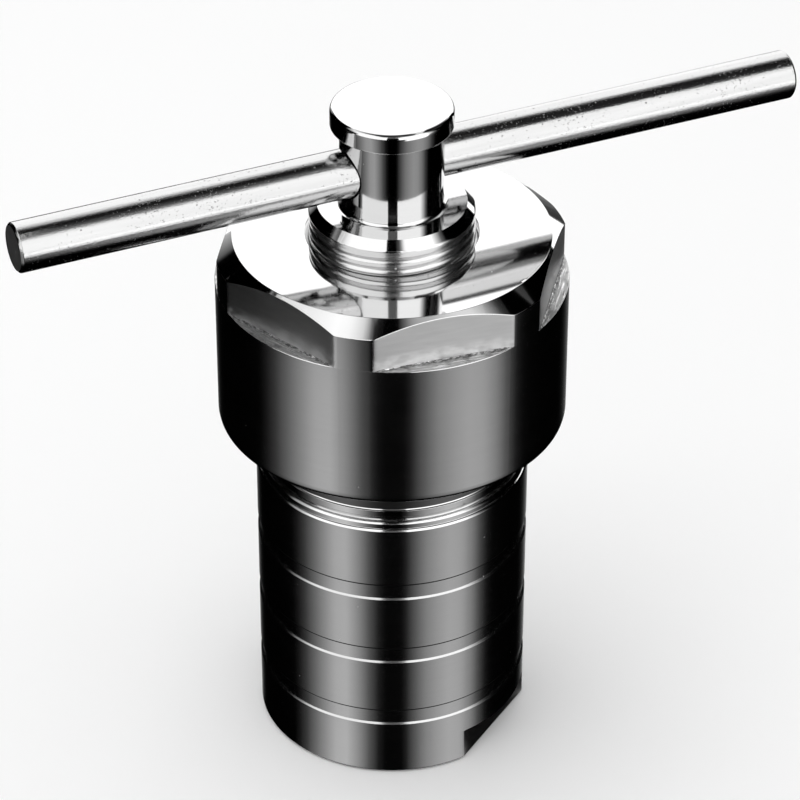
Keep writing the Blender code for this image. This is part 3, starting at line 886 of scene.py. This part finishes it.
bar = turned("tommy_bar_ground", bar_outline, columns=128)
bar.data.transform(Matrix.Translation((0, 0, BAR_HEIGHT)) @ Matrix.Rotation(math.pi / 2, 4, "Y"))
paint(bar, [ground_steel, sawn_steel], bar_metal)
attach(bar, "bar")
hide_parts("tommy_bar")


# Studio: a pale floor, a world as bright as a light tent, and a camera at the photograph's place.
# Softboxes, dark flags and glowing sheets on the table, whose tones and sheen are painted
# reflections, are seen in the metal alone, as a photographer sets them up to draw the edges of
# polished steel.
VIEW_BEARING = math.radians(-113.76)
VIEW_ELEVATION = 34.472
VIEW_DISTANCE = 0.9114
AIM = Vector((0.0, 0.0, 0.0908))
LENS = 166.33
SHIFT = 0.00994
FLOOR_RADIUS = 6.0
FLOOR_DROP = 0.0002
CARD_DISTANCE = 3.0
CARD_STEPS = 8
STRIP_STEPS = 4
CEILING = (180, 84)
CEILING_DISTANCE = 3.1
CEILING_SPREAD = math.radians(18)


def towards(azimuth, elevation, distance, centre=(0.0, 0.0, 0.11)):
    """A point seen from the reactor: azimuth in degrees to the right of the camera's side."""
    bearing = VIEW_BEARING + math.radians(azimuth)
    level = distance * math.cos(math.radians(elevation))
    rise = distance * math.sin(math.radians(elevation))
    return Vector((level * math.cos(bearing), level * math.sin(bearing), rise)) + Vector(centre)


shape = bmesh.new()
bmesh.ops.create_circle(shape, cap_ends=True, segments=96, radius=FLOOR_RADIUS)
floor = meshed("floor", shape)
floor.location.z = -FLOOR_DROP
pale, tree, shader = new_material("pale floor", metallic=0.0)
shader.inputs["Base Color"].default_value = (0.95, 0.95, 0.95, 1)
shader.inputs["Roughness"].default_value = 0.9
shader.inputs["Specular IOR Level"].default_value = 0.0
floor.data.materials.append(pale)


def glow(name, strength_in):
    """A card that shines by itself, as brightly as `strength_in` says in its nodes."""
    material = bpy.data.materials.new(name)
    material.use_nodes = True
    tree = material.node_tree
    tree.nodes.clear()
    light = add(tree, "Emission", {"Color": (1, 1, 1, 1), "Strength": strength_in(tree)})
    add(tree, "OutputMaterial", {"Surface": light.outputs[0]})
    return material


def painted_tone(tree):
    return add(tree, "Attribute", attribute_name="tone").outputs["Fac"]


def painted_sheen_tone(tree):
    """A black board that glows with a painted sheen: a painted reflection of the softboxes at a slant, and
    nothing from above.
    """
    slant = add(tree, "LayerWeight", {"Blend": 0.5}).outputs["Facing"]
    return math_node(tree, "MULTIPLY", ramp(tree, slant, 0.24, 0.355), painted_tone(tree))


toned = glow("toned card", painted_tone)
# The board's glow is a painted sheen, bright only at a slant.
sheen_board = glow("black board with painted sheen", painted_sheen_tone)


def stand(name, shape, material):
    """Puts a mesh into the studio, seen in the metal alone."""
    bmesh.ops.remove_doubles(shape, verts=shape.verts, dist=1e-6)
    piece = meshed(name, shape)
    piece.data.materials.append(material)
    for ray in ("camera", "diffuse", "transmission", "volume_scatter", "shadow"):
        setattr(piece, "visible_" + ray, False)


def shaded(name, stops, steps, line_at, material, middle=0.0):
    """A sheet swept over `stops`, which are pairs of an angle in degrees and the tone there. The
    sheet glows with these painted tones. `line_at` gives the points of the line across it at an
    angle, each with the strength of the tones there. A disc of the radius `middle` is left black."""
    shape = bmesh.new()
    tones = shape.verts.layers.float.new("tone")
    lines = []
    for (first, tone), (second, next_tone) in zip(stops, stops[1:]):
        for step in range(steps + 1):
            share = step / steps
            line = []
            for spot, strength in line_at(first + (second - first) * share):
                point = shape.verts.new(spot)
                point[tones] = (tone + (next_tone - tone) * share) * strength
                line.append(point)
            lines.append(line)
    for left, right in zip(lines, lines[1:]):
        for near in range(len(left) - 1):
            shape.faces.new((left[near], left[near + 1], right[near + 1], right[near]))
    if middle:
        disc = bmesh.ops.create_circle(shape, cap_ends=True, segments=64, radius=middle)
        for point in disc["verts"]:
            point.co.z = HAIR / 2
    stand(name, shape, material)


def card(name, elevations, stops):
    """A curved card round the set between two elevations, in degrees. Its stops are azimuths."""
    rise = (elevations[1] - elevations[0]) / CARD_STEPS

    def line_at(azimuth):
        rows = [elevations[0] + rise * row for row in range(CARD_STEPS + 1)]
        return [(towards(azimuth, row, CARD_DISTANCE), 1.0) for row in rows]

    shaded(name, stops, CARD_STEPS, line_at, toned)


def bar_flag(name, reach, distance, stops):
    """A shaded strip along the bar, over an arc round its axis. Its stops are angles round the
    axis, where 0 degrees is level and to the front."""

    def line_at(around):
        out = -distance * math.cos(math.radians(around))
        up = BAR_HEIGHT + distance * math.sin(math.radians(around))
        return [((end, out, up), 1.0) for end in reach]

    shaded(name, stops, STRIP_STEPS, line_at, toned)


def mat(name, stops, rings, height, middle=0.0):
    """A mat on the table that glows with painted tones, so that an upright steel side of the
    vessel's radius mirrors them as painted reflections. `stops` are pairs of the angle on that
    side, in degrees, and the tone it shows there. `rings` are pairs of a distance from the vessel
    and how strong the tones are there."""

    def line_at(around):
        inner = towards(around, 0.0, VESSEL_RADIUS, (0, 0, height))
        return [(inner + towards(2 * around, 0.0, out, (0, 0, 0)), strength) for out, strength in rings]

    shaded(name, stops, STRIP_STEPS, line_at, sheen_board, middle)


TABLE_TONES = [
    (-90, 0.5), (-84, 0.15), (-79, 0.01), (-74, 0.0), (-47, 0.0), (-44, 0.01), (-40, 0.055), (-35, 0.20),
    (-30, 0.40), (-25, 0.63), (-20, 0.68), (-15, 0.42), (-10, 0.13), (-6, 0.015), (-3, 0.0), (4, 0.0),
    (6, 0.015), (10, 0.15), (15, 0.36), (20, 0.50), (25, 0.60), (30, 0.56), (35, 0.36), (40, 0.085),
    (44, 0.005), (47, 0.0), (71, 0.0), (75, 0.01), (80, 0.10), (86, 0.5),
]
TABLE_RINGS = [(0.0, 1.25), (0.03, 1.12), (0.08, 1.02), (0.17, 0.95), (0.205, 0.95), (0.24, 0.6), (4.0, 0.5)]
FAR_TONES = [(11, 0.3), (14, 1.25), (32, 1.25), (35, 0.3)]
FAR_RINGS = [(0.30, 0.2), (0.36, 0.8), (0.45, 1.0), (0.7, 1.5), (2.95, 1.5)]
# Glowing mats with painted tones, seen in the metal as painted reflections of the table.
mat("glowing_table_mat", TABLE_TONES, TABLE_RINGS, HAIR, VESSEL_RADIUS + 2 * HAIR)
mat("far_glowing_band", FAR_TONES, FAR_RINGS, 2 * HAIR)
card("softbox_left_low", (-1, 25), [(-66, 0.0), (-60, 1.4), (-9, 1.4)])
card("softbox_left_middle", (25, 42), [
    (-95, 0.0), (-88, 0.4), (-80, 0.6), (-72, 1.2), (-66, 1.4), (-9, 1.4),
])
card("softbox_left_upper", (42, 56), [(-106, 0.0), (-101, 1.0), (-85, 1.1), (-72, 1.4), (-9, 1.4)])
card("softbox_left_top", (56, 80), [
    (-85, 1.1), (-58, 1.4), (-46, 1.3), (-32, 0.9), (-27, 0.35), (-21, 0.02), (-9, 0.0),
])
card("softbox_right_low", (-1, 47), [(12, 1.6), (64, 1.6), (71, 0.8), (78, 0.15), (84, 0.0), (90, 0.0)])
card("softbox_right_upper", (47, 54), [
    (7, 0.02), (12, 0.08), (15, 0.3), (21, 1.3), (30, 1.6), (66, 1.5), (77, 0.9), (84, 0.6), (89, 0.3),
    (93, 0.06), (97, 0.0),
])
card("softbox_right_top", (54, 80), [
    (8, 0.0), (16, 0.15), (24, 0.38), (32, 0.52), (46, 0.58), (58, 0.8), (68, 0.96), (77, 0.96),
    (86, 0.6), (93, 0.1),
])
card("backdrop", (-2, 54), [(138, 1.6), (212, 1.6)])
card("flag_left_low", (-2, 25), [(-148, 0.6), (-136, 0.0), (-66, 0.0)])
card("flag_left_middle", (25, 42), [(-148, 0.0), (-95, 0.0)])
card("flag_left_upper", (42, 54), [(-148, 0.0), (-106, 0.0)])
card("flag_right_low", (-2, 47), [(90, 0.0), (138, 0.0)])
card("flag_right_upper", (47, 54), [(97, 0.0), (138, 0.0)])
card("camera_gap_low", (-2, 32), [(-9, 0.0), (12, 0.0)])
card("camera_gap_middle", (32, 45), [(-9, 0.15), (12, 0.15)])
card("camera_gap_upper", (45, 54), [(-9, 0.0), (7, 0.0)])
card("camera_gap_top", (54, 80), [(-9, 0.0), (8, 0.0)])
bar_flag("flag_over_bar_left", (-0.056, 0.045), 0.15, [
    (116, 1.0), (109, 0.5), (103, 0.05), (97, 0.008), (84, 0.015), (76, 0.08), (66, 0.18), (62, 0.25),
])
bar_flag("flag_over_bar_right", (0.045, 0.160), 0.10, [
    (116, 0.9), (110, 0.5), (103, 0.04), (97, 0.01), (84, 0.01), (70, 0.03), (61, 0.07),
])

shape = bmesh.new()
ceiling = towards(*CEILING, CEILING_DISTANCE)
facing = (ceiling - towards(0, 0, 0)).to_track_quat("Z", "Y").to_matrix().to_4x4()
bmesh.ops.create_circle(
    shape, cap_ends=True, segments=96, radius=CEILING_DISTANCE * math.tan(CEILING_SPREAD),
    matrix=Matrix.Translation(ceiling) @ facing,
)
stand("dark_ceiling", shape, glow("dark_ceiling", lambda tree: 0.02))

world = bpy.data.worlds.new("light tent")
world.use_nodes = True
bpy.context.scene.world = world
tree = world.node_tree
tree.nodes.clear()
path = add(tree, "LightPath").outputs
mirrored = math_node(tree, "MAXIMUM", path["Is Glossy Ray"], path["Is Transmission Ray"])
seen = math_node(tree, "MAXIMUM", path["Is Camera Ray"], mirrored)
strength = math_node(tree, "MULTIPLY_ADD", seen, 0.25, 0.75)
tent = add(tree, "Background", {"Color": (1, 1, 1, 1), "Strength": strength})
add(tree, "OutputWorld", {"Surface": tent.outputs[0]})

lamp = bpy.data.lights.new("overhead softbox", "AREA")
lamp.shape = "RECTANGLE"
lamp.size = 1.4
lamp.size_y = 1.0
lamp.energy = 9.0
overhead = put_in_scene("overhead softbox", lamp)
overhead.location = (-0.2, 0.1, 1.6)
overhead.rotation_euler = (-overhead.location).to_track_quat("-Z", "Y").to_euler()
overhead.visible_glossy = False

camera_data = bpy.data.cameras.new("camera")
camera_data.lens = LENS
camera_data.shift_x = SHIFT
camera_data.clip_start = 0.01
camera = put_in_scene("camera", camera_data)
camera.location = towards(0.0, VIEW_ELEVATION, VIEW_DISTANCE, AIM)
camera.rotation_euler = (AIM - camera.location).to_track_quat("-Z", "Y").to_euler()
bpy.context.scene.camera = camera
bpy.context.scene.view_settings.view_transform = "Standard"
